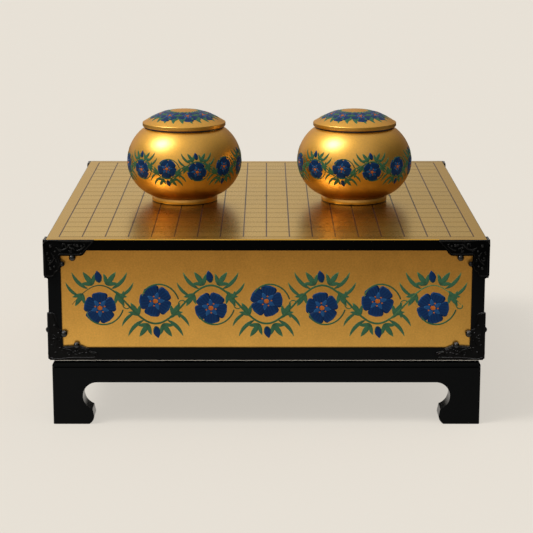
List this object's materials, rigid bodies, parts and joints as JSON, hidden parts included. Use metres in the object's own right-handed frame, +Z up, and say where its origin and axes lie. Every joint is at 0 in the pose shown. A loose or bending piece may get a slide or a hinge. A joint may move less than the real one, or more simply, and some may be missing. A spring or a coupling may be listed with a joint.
{
  "type": "go board with bowls and stand",
  "caption": "Full-size go board built as a box with a stone drawer in each side, on a low footed stand, with two lidded stone bowls.",
  "frame": {"origin": "on the floor under the centre of the stand", "axes": "+Z up, +X to the right and +Y away from a viewer at the front"},
  "size_m": [0.4488, 0.4618, 0.2833],
  "materials": {
    "gold_board": "polished gold lacquer with cut brown lines, black lacquered edges",
    "gold_panel": "satin gold leaf under clear lacquer",
    "gold_bowl": "polished gold lacquer on turned wood",
    "black_lacquer": "polished black lacquer",
    "plain_wood": "planed bare wood",
    "black_metal": "blackened casting, polished on the high spots",
    "felt": "pale wool felt"
  },
  "bodies": {
    "stand": {"back_apron": "black_lacquer", "back_left_leg": "black_lacquer", "back_right_leg": "black_lacquer", "front_apron": "black_lacquer", "front_left_leg": "black_lacquer", "front_right_leg": "black_lacquer", "left_apron": "black_lacquer", "right_apron": "black_lacquer", "stand_back_rail": "black_lacquer", "stand_felt": "felt", "stand_front_rail": "black_lacquer", "stand_left_rail": "black_lacquer", "stand_right_rail": "black_lacquer", "stand_top_panel": "black_lacquer"},
    "left_drawer": {"left_drawer_back": "plain_wood", "left_drawer_back_side": "plain_wood", "left_drawer_floor": "plain_wood", "left_drawer_front": "gold_panel", "left_drawer_front_side": "plain_wood", "left_drawer_knob": "black_metal", "left_drawer_knob_plate": "black_metal"},
    "left_bowl": {"left_bowl": "gold_bowl"},
    "left_bowl_lid": {"left_bowl_lid": "gold_bowl"},
    "right_drawer": {"right_drawer_back": "plain_wood", "right_drawer_back_side": "plain_wood", "right_drawer_floor": "plain_wood", "right_drawer_front": "gold_panel", "right_drawer_front_side": "plain_wood", "right_drawer_knob": "black_metal", "right_drawer_knob_plate": "black_metal"},
    "right_bowl": {"right_bowl": "gold_bowl"},
    "right_bowl_lid": {"right_bowl_lid": "gold_bowl"},
    "case": {"back_bottom_rail": "black_lacquer", "back_drawer_runner": "plain_wood", "back_left_lower_fitting": "black_metal", "back_left_post": "black_lacquer", "back_left_upper_fitting": "black_metal", "back_panel": "gold_panel", "back_right_lower_fitting": "black_metal", "back_right_post": "black_lacquer", "back_right_upper_fitting": "black_metal", "base_board": "black_lacquer", "drawer_divider": "plain_wood", "fitting_nails": "black_metal", "front_bottom_rail": "black_lacquer", "front_drawer_runner": "plain_wood", "front_left_lower_fitting": "black_metal", "front_left_post": "black_lacquer", "front_left_upper_fitting": "black_metal", "front_panel": "gold_panel", "front_right_lower_fitting": "black_metal", "front_right_post": "black_lacquer", "front_right_upper_fitting": "black_metal", "left_bottom_rail": "black_lacquer", "left_panel": "gold_panel", "playing_board": "gold_board", "right_bottom_rail": "black_lacquer", "right_panel": "gold_panel"}
  },
  "joints": [
    {"name": "case_lift", "type": "slide", "parent": "stand", "child": "case", "axis": [0, 0, 1], "range_m": [0, 0.1]},
    {"name": "left_drawer_slide", "type": "slide", "parent": "case", "child": "left_drawer", "axis": [-1, 0, 0], "range_m": [0, 0.15]},
    {"name": "right_drawer_slide", "type": "slide", "parent": "case", "child": "right_drawer", "axis": [1, 0, 0], "range_m": [0, 0.15]},
    {"name": "left_bowl_lift", "type": "slide", "parent": "case", "child": "left_bowl", "axis": [0, 0, 1], "range_m": [0, 0.12]},
    {"name": "right_bowl_lift", "type": "slide", "parent": "case", "child": "right_bowl", "axis": [0, 0, 1], "range_m": [0, 0.12]},
    {"name": "left_lid_lift", "type": "slide", "parent": "left_bowl", "child": "left_bowl_lid", "axis": [0, 0, 1], "range_m": [0, 0.06]},
    {"name": "right_lid_lift", "type": "slide", "parent": "right_bowl", "child": "right_bowl_lid", "axis": [0, 0, 1], "range_m": [0, 0.06]}
  ]
}
